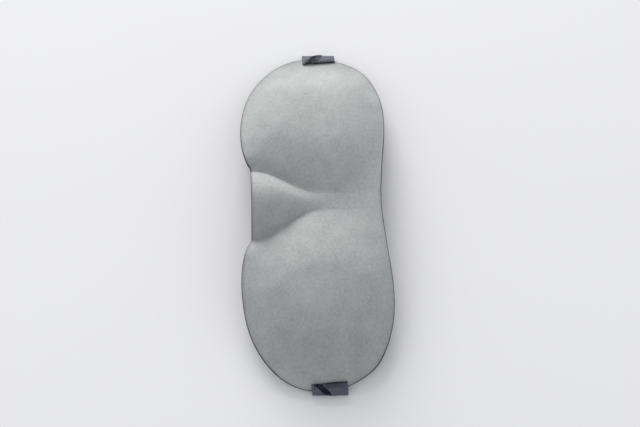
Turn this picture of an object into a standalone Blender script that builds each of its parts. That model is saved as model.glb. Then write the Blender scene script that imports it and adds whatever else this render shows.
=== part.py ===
"""Contoured sleep eye mask: a moulded three-layer shell with two elastic strap halves.

X runs along the mask, +X to the wearer's left. +Y is the forehead side and -Y the nose side.
+Z points away from the face. The mask lies on its inner side, on straps folded in beneath it.
Every size is in metres.
"""
import math

import bmesh
import bpy
import numpy as np
from mathutils import Matrix, Vector

MM = 0.001

# ---- overall shape -------------------------------------------------------------------------------
HALF_LENGTH = 112.0 * MM  # middle of the mask to the tip
HALF_HEIGHT = 46.5 * MM  # middle of the mask to the widest point of the forehead or cheek edge
WRAP_RISE = 20.0 * MM  # how far the middle stands above the tips, to wrap round a face
CROWN = 17.0 * MM  # how far each eye dome stands above the rim
VALLEY = 2.5 * MM  # the same in the valley between the domes
VALLEY_HALF = 5.5 * MM  # half the width of the valley's floor
VALLEY_SOFT = 0.5  # how far its sides round off towards the forehead edge, 1 at the most
DOME_ROUND = 37.0 * MM  # how far in from the edge the dome reaches its full height
DOME_START = 40.0 * MM  # how far outside the valley the dome reaches its full height
DOME_POWER = 1.15  # above 1 the dome rises gently from the rim
FLANGE = 1.5 * MM  # flat pressed rim
TAB_MARGIN = 0.8 * MM  # flat tab left bare past the end of the strap sewn to it
TAB_FADE = 30.0 * MM  # how far past the tab the dome fades in

# ---- arch over the nose --------------------------------------------------------------------------
ARCH_HALF = 22.5 * MM  # half the width of the arch where it opens at the nose edge
ARCH_DEPTH = 54.0 * MM  # how far the arch runs in from the nose edge
ARCH_RISE = 17.0 * MM  # height of its crest at the nose edge
ARCH_FADE = 1.45  # how much sooner the crest dies out than the arch narrows
ARCH_TAPER = 1.3  # how sharply it narrows
ARCH_LEAN = 0.2  # how far its crest leans to the wearer's right, as in the photo
MIDDLE_SHIFT = 2.2 * MM  # how far the middle is pushed to the wearer's right, as in the photo
SWELL = 5.0 * MM  # how far the nose edge swells up beside the arch
SWELL_NEAR = 11.0 * MM  # from the arch to the highest point of the swelling
SWELL_FAR = 45.0 * MM  # and from there to its end
SWELL_DEPTH = 42.0 * MM  # how far in from the nose edge it dies out

# ---- layers --------------------------------------------------------------------------------------
GAP = 0.3 * MM  # between pieces that touch
COVER = 0.7 * MM
LINING = 0.6 * MM
FOAM_RIM = 0.8 * MM  # foam, pressed at the rim
FOAM_RING = 8.0 * MM  # foam, in the ring that rests on the face
FOAM_CUP = 3.0 * MM  # foam, over the eyes and the nose
RING_START = 9.0 * MM  # how far in from the flange the ring reaches its full thickness
CUP_X = 40.0 * MM  # centre of each eye cup
CUP_Y = 2.0 * MM
CUP_LENGTH = 30.0 * MM  # radii of its mouth
CUP_HEIGHT = 25.0 * MM
CUP_WALL = 0.4  # share of the radius that its sloping wall takes

# ---- strap ---------------------------------------------------------------------------------------
STRAP_Y = 5.3 * MM  # where the strap's middle meets the tip
STRAP_WIDTH = 22.0 * MM
STRAP_THICK = 1.0 * MM
SEWN_LENGTH = 5.8 * MM  # the end sewn on top of the tip
FOLD_RUN = 1.5 * MM  # flat elastic past the fold that flexes with it
TAIL_CLEARANCE = 34.0 * MM  # free end of each folded half to the mask's far tip
SIDE_GAP = 3.75 * MM  # between the two halves, which lie side by side under the mask
AXIS_SKEW = math.radians(1.5)  # how far the fold line turns from square to the mask
BEND_DROP = 0.3 * MM  # how far below the elastic the bend's axis lies
BEND_TO_TAPE = 11.0 * MM  # bare elastic between the line where the tail bends and the loop tape
RAMP_TO_BEND = 7.0 * MM
RAMP = 33.0 * MM  # over which the left strap climbs its loop tape's thickness

# ---- closure -------------------------------------------------------------------------------------
TAPE_SIDE = 1.0 * MM  # bare elastic on each side of the tape or patch
TAPE_THICK = 1.0 * MM
TAPE_MARGIN = 4.0 * MM  # bare elastic past the end of the tape or patch
LOOP_LENGTH = 80.0 * MM
HOOK_LENGTH = 35.0 * MM
HOOK_THICK = 1.2 * MM
THREAD = 0.25 * MM  # radius
SEAM_INSET = 1.6 * MM  # seam to the edge of what it sews
ZIGZAG_DEPTH = 2.6 * MM
ZIGZAG_PITCH = 2.2 * MM

# ---- mesh ----------------------------------------------------------------------------------------
ARCH_COLUMNS = 4
OUTER_COLUMNS = 15
ROWS = 16
TIP_CUT = 0.15 * MM  # the last column stands this far in from the tip
PER_SPAN = 60  # points on each span of the outline

# Half the outline, from the middle of the forehead edge round the tip to the middle of the nose
# edge, as shares of the half-length and half-height.
FOREHEAD = [(0.0, 0.892), (0.223, 0.933), (0.446, 0.995), (0.625, 0.987), (0.777, 0.888),
            (0.884, 0.731), (0.951, 0.495), (0.990, 0.247)]
TIP = (1.0, 0.060)
CHEEK = [(0.987, -0.237), (0.929, -0.520), (0.819, -0.768), (0.679, -0.931), (0.509, -1.0),
         (0.357, -0.987), (0.250, -0.920)]
NOSE_CORNER = -0.866
NOSE_MIDDLE = -0.834

RIM = COVER + FOAM_RIM + LINING + 2 * GAP
FOLD_RADIUS = RIM / 2 + GAP + STRAP_THICK / 2
FOLD_Z = FOLD_RADIUS + STRAP_THICK / 2
TIP_TOP = FOLD_Z + RIM / 2
TIP_SLOPE = math.atan(2 * WRAP_RISE / HALF_LENGTH)
TAB = (SEWN_LENGTH * math.cos(TIP_SLOPE) - FOLD_RADIUS * math.sin(TIP_SLOPE)) + TAB_MARGIN
FOLD_TURN = math.pi - TIP_SLOPE
# How far the folded strap drifts from the mask's length, so that the halves pass side by side.
UNDER_SKEW = math.asin((STRAP_WIDTH + SIDE_GAP) / (2 * HALF_LENGTH))
FOLD_SLANT = math.tan(UNDER_SKEW - AXIS_SKEW)  # how far the fold line runs along the strap
STRAP_LENGTH = 2 * HALF_LENGTH - TAIL_CLEARANCE  # fold to free end
TAPE_WIDTH = STRAP_WIDTH - 2 * TAPE_SIDE
TAPE_END = STRAP_LENGTH - TAPE_MARGIN
LOOP_START = TAPE_END - LOOP_LENGTH
HOOK_START = TAPE_END - HOOK_LENGTH
BEND_AT = LOOP_START - BEND_TO_TAPE
RAMP_END = BEND_AT - RAMP_TO_BEND
RAMP_START = RAMP_END - RAMP
LIFT = TAPE_THICK + GAP


# ---- tools ---------------------------------------------------------------------------------------
def collection(name):
    group = bpy.data.collections.new(name)
    bpy.context.scene.collection.children.link(group)
    return group


def material(name, colour, roughness):
    made = bpy.data.materials.new(name)
    made.use_nodes = True
    made.diffuse_color = (*colour, 1.0)
    shader = made.node_tree.nodes["Principled BSDF"]
    shader.inputs["Base Color"].default_value = (*colour, 1.0)
    shader.inputs["Roughness"].default_value = roughness
    shader.inputs["Metallic"].default_value = 0.0
    return made


def add_object(name, data, look, group, parent=None):
    data.materials.append(look)
    made = bpy.data.objects.new(name, data)
    group.objects.link(made)
    if parent is not None:
        made.parent = parent
        made.matrix_parent_inverse = Matrix.Translation(parent.location).inverted()
    return made


def add_pivot(name, place, group, parent=None):
    """An empty on a joint's axis, which the moving pieces hang from."""
    pivot = bpy.data.objects.new(name, None)
    pivot.empty_display_size = 10 * MM
    group.objects.link(pivot)
    pivot.location = place
    if parent is not None:
        pivot.parent = parent
        pivot.matrix_parent_inverse = Matrix.Translation(parent.location).inverted()
        bpy.context.view_layer.update()
    return pivot


def mesh_from(bm, name):
    bmesh.ops.recalc_face_normals(bm, faces=bm.faces)
    mesh = bpy.data.meshes.new(name)
    bm.to_mesh(mesh)
    bm.free()
    return mesh


def eased(share):
    share = np.clip(share, 0.0, 1.0)
    return share * share * (3 - 2 * share)


# ---- outline and surface of the mask -------------------------------------------------------------
def smooth_curve(points):
    """A smooth curve through points, mirrored in the Y axis past both ends."""
    points = np.array(points)
    mirror = np.array([-1.0, 1.0])
    knots = np.vstack([points[1] * mirror, points, points[-2] * mirror])
    t = np.linspace(0, 1, PER_SPAN, endpoint=False)[:, None]
    spans = []
    for a, b, c, d in zip(knots, knots[1:], knots[2:], knots[3:]):
        spans.append(b + 0.5 * t * (c - a + t * (2 * a - 5 * b + 4 * c - d
                                                 + t * (3 * (b - c) + d - a))))
    return np.vstack([*spans, points[-1:]])


def half_outline():
    """The forehead edge and the nose edge, each from the middle of the mask to its tip."""
    shares = [*FOREHEAD, TIP, *CHEEK, (ARCH_HALF / HALF_LENGTH, NOSE_CORNER), (0.0, NOSE_MIDDLE)]
    curve = smooth_curve(np.array(shares) * [HALF_LENGTH, HALF_HEIGHT])
    tip = int(np.argmax(curve[:, 0]))
    return curve[:tip + 1], curve[tip:][::-1]


def distance_to(curve, x, y):
    points = np.stack([x, y], axis=-1)
    return np.sqrt(((points[:, None, :] - curve[None]) ** 2).sum(-1)).min(1)


class Surface:
    """The mask's outer surface over a grid of u, -1 to 1 along the mask, and v, 0 to 1 across it."""

    def __init__(self, u, v):
        forehead, nose = half_outline()
        depth = (forehead[0, 1] - nose[0, 1]) * v / ARCH_DEPTH
        bell = (1 + np.cos(np.clip(depth, 0, 1) * math.pi)) / 2
        self.crease = np.hypot(math.sqrt(ARCH_HALF ** 2 - VALLEY_HALF ** 2) * bell ** ARCH_TAPER,
                               VALLEY_HALF)
        side = np.abs(self.columns(np.abs(u)))
        low = np.interp(side, nose[:, 0], nose[:, 1])
        high = np.interp(side, forehead[:, 0], forehead[:, 1])
        self.x = (side * np.sign(u)
                  - MIDDLE_SHIFT * (1 - (side / HALF_LENGTH) ** 2) ** 2)
        self.y = low + v * (high - low)
        to_forehead = distance_to(forehead, side, self.y)
        to_nose = distance_to(nose, side, self.y)
        self.inset = 1 / np.sqrt(1 / np.maximum(to_forehead, MM / 100) ** 2
                                 + 1 / np.maximum(to_nose, MM / 100) ** 2)
        self.z = (TIP_TOP + WRAP_RISE * (1 - (side / HALF_LENGTH) ** 2)
                  + self.dome(side, depth) + self.arch(side * np.sign(u), bell) + self.swell(side, depth))
        self.foam = self.foam_thickness(side)

    def columns(self, share):
        """Distance from the middle: the first columns fill the arch, the others reach the tip."""
        split = ARCH_COLUMNS / (ARCH_COLUMNS + OUTER_COLUMNS)
        outer = np.clip((share - split) / (1 - split), 0, 1)
        reach = HALF_LENGTH - TIP_CUT
        bunched = 0.45 * outer + 0.55 * np.sin(outer * math.pi / 2)
        return np.where(share <= split, self.crease * share / split,
                        self.crease + (reach - self.crease) * bunched)

    def dome(self, side, depth):
        out = (side - self.crease) / DOME_START
        crisp = np.sin(np.clip(out, 0, 1) * math.pi / 2)
        soft = VALLEY_SOFT * eased((depth - 0.7) / 0.7)
        height = VALLEY + (CROWN - VALLEY) * ((1 - soft) * crisp + soft * eased(out))
        rise = np.clip((self.inset - FLANGE) / DOME_ROUND, 0, 1)
        fade = np.sin(np.clip((HALF_LENGTH - side - TAB) / TAB_FADE, 0, 1) * math.pi / 2)
        return height * (1 - (1 - rise) ** 2) ** DOME_POWER * fade

    def arch(self, along, bell):
        across = np.clip(along / self.crease, -1, 1)
        return ARCH_RISE * bell ** ARCH_FADE * (1 - across ** 2) * (1 - ARCH_LEAN * across)

    def swell(self, side, depth):
        out = side - self.crease
        near = np.sin(np.clip(out / SWELL_NEAR, 0, 1) * math.pi / 2)
        far = 1 - eased((out - SWELL_NEAR) / SWELL_FAR)
        return SWELL * near * far * (1 - eased(depth * ARCH_DEPTH / SWELL_DEPTH))

    def foam_thickness(self, side):
        ring = eased((self.inset - FLANGE) / RING_START)
        ring = ring * np.sin(np.clip((HALF_LENGTH - side - TAB) / TAB_FADE, 0, 1) * math.pi / 2)
        radius = np.hypot((side - CUP_X) / CUP_LENGTH, (self.y - CUP_Y) / CUP_HEIGHT)
        cup = eased((1 - radius) / CUP_WALL)
        nose = eased(1 - (side - self.crease) / (CUP_X - CUP_LENGTH))
        thick = FOAM_RIM + (FOAM_RING - FOAM_RIM) * ring
        return thick + (np.minimum(FOAM_CUP, thick) - thick) * np.maximum(cup, nose)


def layer(name, look, group, top, bottom):
    """One closed layer of the mask between two heights, each a function of the surface."""
    columns = 2 * (ARCH_COLUMNS + OUTER_COLUMNS)
    bm = bmesh.new()
    bmesh.ops.create_grid(bm, x_segments=columns, y_segments=ROWS, size=1.0)
    copied = bmesh.ops.extrude_face_region(bm, geom=bm.faces[:])
    lower = {vert for vert in copied["geom"] if isinstance(vert, bmesh.types.BMVert)}
    verts = list(bm.verts)
    flat = np.array([vert.co[:2] for vert in verts], float)
    surface = Surface(flat[:, 0], (1 - np.cos((flat[:, 1] + 1) * math.pi / 2)) / 2)
    heights = np.where([vert in lower for vert in verts], bottom(surface), top(surface))
    for vert, x, y, z in zip(verts, surface.x, surface.y, heights):
        vert.co = (x, y, z)
    return add_object(name, mesh_from(bm, name), look, group)


def build_layers(group):
    foam_top = COVER + GAP
    layer("outer_cover", material("cover_knit", (0.42, 0.43, 0.42), 0.9), group,
          lambda s: s.z, lambda s: s.z - COVER)
    layer("foam_core", material("foam", (0.05, 0.05, 0.055), 0.95), group,
          lambda s: s.z - foam_top, lambda s: s.z - foam_top - s.foam)
    layer("inner_lining", material("lining_knit", (0.05, 0.05, 0.055), 0.9), group,
          lambda s: s.z - foam_top - s.foam - GAP,
          lambda s: s.z - foam_top - s.foam - GAP - LINING)


# ---- strap halves --------------------------------------------------------------------------------
class StrapHalf:
    """Where one strap half runs. The right half is the left one turned half round the mask."""

    def __init__(self, side):
        self.side = side
        self.fold = Vector((HALF_LENGTH, STRAP_Y, FOLD_Z))
        self.along = Vector((-math.cos(UNDER_SKEW), math.sin(UNDER_SKEW), 0))
        self.across = Vector((math.sin(UNDER_SKEW), math.cos(UNDER_SKEW), 0))
        self.axis = Vector((-math.sin(AXIS_SKEW), -math.cos(AXIS_SKEW), 0))

    def world(self, point):
        if self.side > 0:
            return point
        return Vector((-point.x, 2 * STRAP_Y - point.y, point.z))

    def flat(self, reach, offset, height):
        """A point on the folded strap: reach from the fold, offset across, height off the ground."""
        place = self.fold + self.along * reach + self.across * offset
        return self.world(Vector((place.x, place.y, height)))

    def turned(self, angle, inward, offset, lift=0.0):
        """A point turned about the fold's axis, inward of it, lift off the elastic's middle."""
        turn = Matrix.Rotation(angle, 3, self.axis)
        start = Vector((0, 0, -FOLD_RADIUS - lift)) + self.across * offset - self.along * inward
        return self.world(self.fold + turn @ start)

    def fold_line(self, angle, inward=0.0):
        """The two edges of the elastic on a line along the fold's axis."""
        edge = STRAP_WIDTH / 2
        return [self.turned(angle, inward - offset * FOLD_SLANT, offset)
                for offset in (-edge, edge)]


def climb(half, reach):
    """Height of the elastic's middle surface. The left half climbs over its loop tape."""
    rise = LIFT * eased((reach - RAMP_START) / (RAMP_END - RAMP_START)) if half.side > 0 else 0.0
    return STRAP_THICK / 2 + rise


def ribbon(name, lines, thickness, look, group, parent=None):
    """A flat band through pairs of edge points, thickened evenly to both sides."""
    bm = bmesh.new()
    bmesh.ops.create_grid(bm, x_segments=len(lines) - 1, y_segments=1, size=1.0)
    for vert in bm.verts:
        station = round((vert.co.x + 1) / 2 * (len(lines) - 1))
        vert.co = lines[station][1 if vert.co.y > 0 else 0]
    made = add_object(name, mesh_from(bm, name), look, group, parent)
    solid = made.modifiers.new("Thickness", "SOLIDIFY")
    solid.thickness = thickness
    solid.offset = 0.0
    solid.use_even_offset = True
    return made


def thread(name, points, look, group, parent=None, closed=False):
    curve = bpy.data.curves.new(name, "CURVE")
    curve.dimensions = "3D"
    curve.bevel_depth = THREAD
    curve.bevel_resolution = 2
    curve.use_fill_caps = not closed
    spline = curve.splines.new("POLY")
    spline.points.add(len(points) - 1)
    for knot, point in zip(spline.points, points):
        knot.co = (*point, 1.0)
    spline.use_cyclic_u = closed
    return add_object(name, curve, look, group, parent)


def edges_at(half, reach, height, width=STRAP_WIDTH):
    return half.flat(reach, -width / 2, height), half.flat(reach, width / 2, height)


def rectangle_seam(half, start, end, width, height):
    """Corners of a seam inset from the edges of a tape that runs from start to end."""
    near, far = start + SEAM_INSET, end - SEAM_INSET
    edge = width / 2 - SEAM_INSET
    corners = [(near, -edge), (far, -edge), (far, edge), (near, edge)]
    return [half.flat(reach, offset, height) for reach, offset in corners]


def build_sewn_end(half, name, looks, group):
    """The end sewn on top of the tip, its zigzag seam, and the fold round the tip's edge."""
    edge = STRAP_WIDTH / 2
    raw_end = [half.turned(FOLD_TURN, SEWN_LENGTH, offset) for offset in (-edge, edge)]
    ribbon(name + "_strap_end", [half.fold_line(FOLD_TURN, GAP), raw_end], STRAP_THICK,
           looks["elastic"], group)

    lines = [half.fold_line(angle) for angle in np.linspace(0.0, FOLD_TURN, 12)]
    ribbon(name + "_strap_fold", [half.fold_line(0.0, -FOLD_RUN), *lines], STRAP_THICK,
           looks["elastic"], group)

    lift = STRAP_THICK / 2 + GAP + THREAD
    seam_edge = edge - SEAM_INSET
    count = int(2 * seam_edge / (ZIGZAG_PITCH / 2)) + 1
    far, near = SEWN_LENGTH - SEAM_INSET / 2, SEWN_LENGTH - SEAM_INSET / 2 - ZIGZAG_DEPTH
    points = [half.turned(FOLD_TURN, far if n % 2 else near, offset, lift)
              for n, offset in enumerate(np.linspace(-seam_edge, seam_edge, count))]
    thread(name + "_end_stitches", points, looks["thread"], group)


def build_strap(half, name, looks, group):
    """The elastic half in two pieces, either side of the line where it bends."""
    swing = add_pivot(name + "_swing_pivot", half.world(half.fold), group)
    reaches = [*np.linspace(RAMP_START, RAMP_END, 7), BEND_AT]
    lines = [edges_at(half, reach, climb(half, reach)) for reach in reaches]
    first = half.fold_line(0.0, -FOLD_RUN - GAP)
    ribbon(name + "_strap", [first, *lines], STRAP_THICK, looks["elastic"], group, swing)

    axis_height = climb(half, BEND_AT) - STRAP_THICK / 2 - BEND_DROP
    bend = add_pivot(name + "_bend_pivot", half.flat(BEND_AT, 0.0, axis_height), group, swing)
    lines = [edges_at(half, reach, climb(half, reach)) for reach in (BEND_AT + GAP, STRAP_LENGTH)]
    ribbon(name + "_strap_tail", lines, STRAP_THICK, looks["elastic"], group, bend)
    return bend


def build_closure(left, right, left_bend, right_bend, looks, group):
    """Loop tape on the outside of the left half, hook patch on the inside of the right half."""
    ends = (LOOP_START, TAPE_END)
    lines = [edges_at(left, reach, TAPE_THICK / 2, TAPE_WIDTH) for reach in ends]
    ribbon("loop_tape", lines, TAPE_THICK, looks["loop"], group, left_bend)
    seam = climb(left, TAPE_END) + STRAP_THICK / 2 + GAP + THREAD
    thread("loop_tape_stitches", rectangle_seam(left, *ends, TAPE_WIDTH, seam),
           looks["thread"], group, left_bend, closed=True)

    ends = (HOOK_START, TAPE_END)
    top = STRAP_THICK + GAP + HOOK_THICK
    lines = [edges_at(right, reach, top - HOOK_THICK / 2, TAPE_WIDTH) for reach in ends]
    ribbon("hook_patch", lines, HOOK_THICK, looks["hook"], group, right_bend)
    seam = top + GAP + THREAD
    thread("hook_patch_stitches", rectangle_seam(right, *ends, TAPE_WIDTH, seam),
           looks["thread"], group, right_bend, closed=True)


def main():
    for old in list(bpy.data.objects):
        bpy.data.objects.remove(old, do_unlink=True)
    group = collection("sleep_eye_mask")
    looks = {"elastic": material("strap_elastic", (0.012, 0.014, 0.022), 0.7),
             "loop": material("loop_pile", (0.012, 0.014, 0.022), 0.95),
             "hook": material("hook_nylon", (0.015, 0.016, 0.02), 0.5),
             "thread": material("thread", (0.015, 0.017, 0.025), 0.6)}
    build_layers(group)
    left, right = StrapHalf(1), StrapHalf(-1)
    build_sewn_end(left, "left", looks, group)
    build_sewn_end(right, "right", looks, group)
    left_bend = build_strap(left, "left", looks, group)
    right_bend = build_strap(right, "right", looks, group)
    build_closure(left, right, left_bend, right_bend, looks, group)


main()
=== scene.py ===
# The looks of a contoured sleep eye mask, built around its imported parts. X runs along the mask, +X to
# the wearer's left, +Y is the forehead side, -Y the nose side and +Z points away from the face.
# The mask lies on its inner side, on its two strap halves folded in beneath it. Metres throughout.
import math
import random

import bmesh
import bpy
import numpy as np
from mathutils import Matrix, Vector, noise


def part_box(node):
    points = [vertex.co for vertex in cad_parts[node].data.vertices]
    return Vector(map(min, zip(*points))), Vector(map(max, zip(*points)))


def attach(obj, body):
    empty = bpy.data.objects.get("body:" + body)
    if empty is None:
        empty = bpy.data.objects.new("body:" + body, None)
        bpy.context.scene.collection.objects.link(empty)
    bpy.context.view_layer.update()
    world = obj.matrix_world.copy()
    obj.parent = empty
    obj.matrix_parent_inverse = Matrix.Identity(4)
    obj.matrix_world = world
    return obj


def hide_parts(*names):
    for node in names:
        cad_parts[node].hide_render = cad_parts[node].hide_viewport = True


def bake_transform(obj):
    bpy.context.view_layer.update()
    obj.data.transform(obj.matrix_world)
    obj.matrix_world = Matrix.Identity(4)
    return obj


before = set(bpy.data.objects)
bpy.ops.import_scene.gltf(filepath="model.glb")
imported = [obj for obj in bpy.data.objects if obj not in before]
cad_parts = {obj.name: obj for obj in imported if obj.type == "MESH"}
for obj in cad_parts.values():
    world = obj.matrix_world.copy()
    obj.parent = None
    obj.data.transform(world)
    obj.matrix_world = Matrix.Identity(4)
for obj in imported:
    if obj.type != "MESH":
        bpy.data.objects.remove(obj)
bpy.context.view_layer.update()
MM = 0.001

# ---- overall shape of the mask -------------------------------------------------------------------
HALF_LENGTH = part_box("foam_core")[1].x + 0.15 * MM
HALF_HEIGHT = 46.5 * MM
WRAP_RISE = 20.0 * MM  # how far the middle stands above the tips
CROWN = 17.0 * MM  # eye dome above the rim
VALLEY = 2.5 * MM  # valley between the domes above the rim
VALLEY_HALF = 5.5 * MM  # half the width of its floor
VALLEY_SOFT = 0.5  # how far its sides round off towards the forehead edge
SOFT_DEPTH = 0.7  # it starts this many arch depths in from the nose edge, and takes as many more
DOME_ROUND = 37.0 * MM  # how far in from the flat rim a dome reaches its full height
DOME_START = 40.0 * MM  # and how far out from the valley or the arch
DOME_POWER = 1.15  # above 1 the dome rises gently from the rim
FLANGE = 1.5 * MM  # flat pressed rim
TAB_MARGIN = 0.8 * MM  # flat tip left past the end of the sewn strap
TAB_FADE = 30.0 * MM  # and how far in from there a dome reaches its full height
ARCH_HALF = 22.5 * MM  # arch over the nose
ARCH_DEPTH = 54.0 * MM  # how far in from the nose edge it dies out
ARCH_RISE = 17.0 * MM  # its crest above the rim at the nose edge
ARCH_FADE = 1.45  # how much sooner its height dies out than its width
ARCH_TAPER = 1.3  # how sharply it narrows
ARCH_LEAN = 0.2  # how far its crest leans to the wearer's right, as in the photo
MIDDLE_SHIFT = 2.2 * MM  # how far the middle is pushed to the wearer's right, as in the photo
SWELL = 5.0 * MM  # how far the nose edge swells up beside the arch
SWELL_NEAR = 11.0 * MM  # from the arch to the highest point of the swelling
SWELL_FAR = 45.0 * MM  # and from there to its end
SWELL_DEPTH = 42.0 * MM  # how far in from the nose edge it dies out

# ---- relief of the pressed surface ---------------------------------------------------------------
WAVE = 19.0 * MM  # size of the broad waves
RIPPLE = 7.0 * MM  # and of the fine ones
RIPPLE_SHARE = 0.4  # how high the fine ones are, next to the broad ones
WAVE_HEIGHT = 0.25 * MM
WAVE_FADE = 8.0 * MM  # from the rim to their full height
WAVE_PLACE, RIPPLE_PLACE = 3.0, 9.0  # where in the noise each of them is cut
PRESS_WIDTH = 0.8 * MM  # the line pressed in along the inside of the rim
PRESS_DEPTH = 0.07 * MM
RIM_SHADE = 1.3 * MM  # width of the darker band at the cover's edge

# ---- layers --------------------------------------------------------------------------------------
GAP = 0.3 * MM  # between pieces that touch
HAIR = 0.03 * MM  # the gap that the visible layers keep instead
COVER = 0.7 * MM  # thickness of the outer cover
LINING = 0.6 * MM  # and of the inner lining
FOAM_RIM = 0.8 * MM  # thickness of the foam in the pressed rim,
FOAM_RING = 8.0 * MM  # all round inside it,
FOAM_CUP = 3.0 * MM  # and in the eye cups and over the nose
RING_START = 9.0 * MM  # from the rim to the ring's full thickness
CUP_X = 40.0 * MM  # middle of an eye cup
CUP_Y = 2.0 * MM
CUP_LENGTH = 30.0 * MM  # half its length
CUP_HEIGHT = 25.0 * MM  # half its height
CUP_WALL = 0.4  # share of the cup that its sloping side takes
COVER_SHORT = 0.4 * MM  # the cover is cut this much shorter than the foam
LINING_PROUD = 0.1 * MM  # and the lining this much longer
KNIT_EDGE = 0.2 * MM  # how far each layer's edge is rounded
FOAM_EDGE = 0.1 * MM
FLAT_EXTRA_AREA = 1.06

# ---- strap ---------------------------------------------------------------------------------------
STRAP_Y = 5.3 * MM  # middle of the strap at the mask's tip
STRAP_WIDTH = 22.0 * MM
STRAP_THICK = 1.0 * MM
STRAP_EDGE = 0.22 * MM  # how far its edge is rounded
SEWN_LENGTH = 5.8 * MM  # the end sewn on top of the tip
TAIL_CLEARANCE = 34.0 * MM  # from a strap half's end to the far tip
SIDE_GAP = 3.75 * MM  # between the two strap halves beneath the mask
AXIS_SKEW = math.radians(1.5)  # of the fold's axis, seen from above
SLANT_FADE = 14.0 * MM  # how far past the fold the elastic still feels it
BEND_TO_TAPE = 11.0 * MM  # from the bend to the loop tape, and the same on the right half
RAMP_TO_BEND = 7.0 * MM  # from the end of the left half's climb to its bend
RAMP = 33.0 * MM  # length of that climb, over the tape
RIB = 1.0 * MM  # pitch of the elastic's ribs
RIB_DEPTH = 0.07 * MM
SAG = 0.06 * MM  # how far the elastic dips here and there
SAG_SIZE = 9.0 * MM
FRAY = 0.25 * MM  # how uneven its cut ends are
COARSE = 0.8 * MM  # spacing of its cross sections where it runs straight
FINE = 0.3 * MM  # and where it turns
LAST_STEP = 0.2 * MM  # a rest shorter than this is left off
FOLD_FINE = 3.0 * MM  # how far past the fold the spacing stays fine
BEND_FINE = 4.0 * MM  # and how far either side of the bend
SWING_TILT = 0.2  # of a line through the fold's axis, from the vertical, in radians
PLEAT_START = -4.8 * MM  # where the sewn end's pleat crests at its raw end, from its middle
PLEAT_END = 0.2 * MM  # and where it crests at the fold
PLEAT_WIDTH = 5.4 * MM  # of its steep face, which is also darkened by painted shade
PLEAT_BACK = 2.6 * MM  # and of its other face
PLEAT_EDGE = 0.8 * MM
PLEAT_FADE = 4.0 * MM  # how far round the fold it dies out
PLEAT_HEIGHT = 1.1 * MM
PLEAT_RAW_SHARE = 0.55  # how high it stands at its raw end, next to its height at the fold
RAW_EDGE = 1.7 * MM  # how far in from its cut end painted shade darkens the elastic, past the pleat
RAW_SHADE = 0.85  # strength of that painted shade, next to the painted shade on the pleat's face
SPLIT = 42.0 * MM  # where the two visible pieces of a strap half meet, from the fold
BEND_SPREAD = 1.8 * MM  # how far either side of its bend two points are taken on the elastic

# ---- closure and thread --------------------------------------------------------------------------
TAPE_SIDE = 1.0 * MM  # elastic left bare on each side of a tape
TAPE_THICK = 1.0 * MM
TAPE_MARGIN = 4.0 * MM  # and past its end
TAPE_STEP = 0.6 * MM  # spacing of its mesh
TAPE_EDGE = 0.15 * MM  # how far its edge is rounded
SEAM_DENT = 0.28 * MM  # how deep its seam pulls it in
SEAM_DENT_WIDTH = 0.7 * MM
DENT_BEHIND = 0.3  # how deep the dent is on the side that doesn't grip, next to the other side
LOOP_LENGTH = 80.0 * MM
PILE = 0.45 * MM  # height of the loops on their backing
PILE_SUNK = 0.75  # share of that height above the ground at which the backing's face lies
PILE_ROUGH = 0.12 * MM
LOOP_PITCH = 1.05 * MM
LOOP_MARGIN = 0.9 * MM
LOOP_WANDER = 0.4 * MM
LOOP_HALF_WIDTH = (0.25 * MM, 0.5 * MM)
LOOP_TALL = (0.55, 1.0)  # share of the room between the backing and the ground
LOOP_CLEAR = 0.08 * MM  # kept clear of the ground
LOOP_ROOT = 0.06 * MM  # how deep a loop starts in the backing
LOOP_YARN = 0.065 * MM  # radius
HOOK_LENGTH = 35.0 * MM
HOOK_THICK = 1.2 * MM
HOOK_TALL = 0.75 * MM
HOOK_ROUGH = 0.05 * MM
HOOK_PITCH = 1.3 * MM
HOOK_MARGIN = 2.3 * MM
HOOK_WANDER = 0.05 * MM
HOOK_CURL = 0.22 * MM  # radius of a hook's bend
HOOK_TURN = (0.2, 1.25)  # where the bend starts and ends, in half turns
HOOK_ROOT = 0.05 * MM  # how deep a stem starts in the backing
HOOK_NYLON = 0.09 * MM  # radius
THREAD = 0.17 * MM  # radius
SEAM_INSET = 1.6 * MM  # from an edge to its seam
STITCH = 2.3 * MM
STITCH_POINTS = 8
STITCH_BOW = 0.5  # below 1 a stitch lies flat along its middle and dives at its ends
END_SEAM_PROUD = 0.12 * MM  # how high the thread of the end seam lies on the elastic,
END_SEAM_DIP = 0.4 * MM  # and how deep it sinks in between two stitches
TAPE_SEAM_PROUD = 0.08 * MM  # the same for the seams of the tapes
TAPE_SEAM_DIP = 0.35 * MM
SEAM_ON_PILE = 0.12 * MM  # how deep its seam is drawn into the backing, among the loops
SEAM_BEHIND = 0.2 * MM  # height of the hook patch's seam on the elastic's back
ZIGZAG_DEPTH = 2.6 * MM
ZIGZAG_PITCH = 2.2 * MM

# ---- mesh of the mask ----------------------------------------------------------------------------
ARCH_COLUMNS = 14
OUTER_COLUMNS = 56
EVEN_COLUMNS = 0.45  # share of the outer columns' spacing that is even, the rest crowds at the tip
EVEN_ROWS = 0.5  # share of the rows' spacing that is even, the rest crowds at both edges
ROWS = 64
TIP_CUT = 0.15 * MM
PER_SPAN = 60
EDGE_RINGS = (0.25, 0.75)  # the rings of points down a layer's edge, as shares of its thickness
AREA_STEPS = 400
NEAREST = MM / 100  # a point on the very edge counts as this far in from it
NO_LENGTH = 1e-12  # keeps a division by a length of nothing finite
FLAT_PATH = 1e-3  # below this a thread runs along its own upward side

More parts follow.
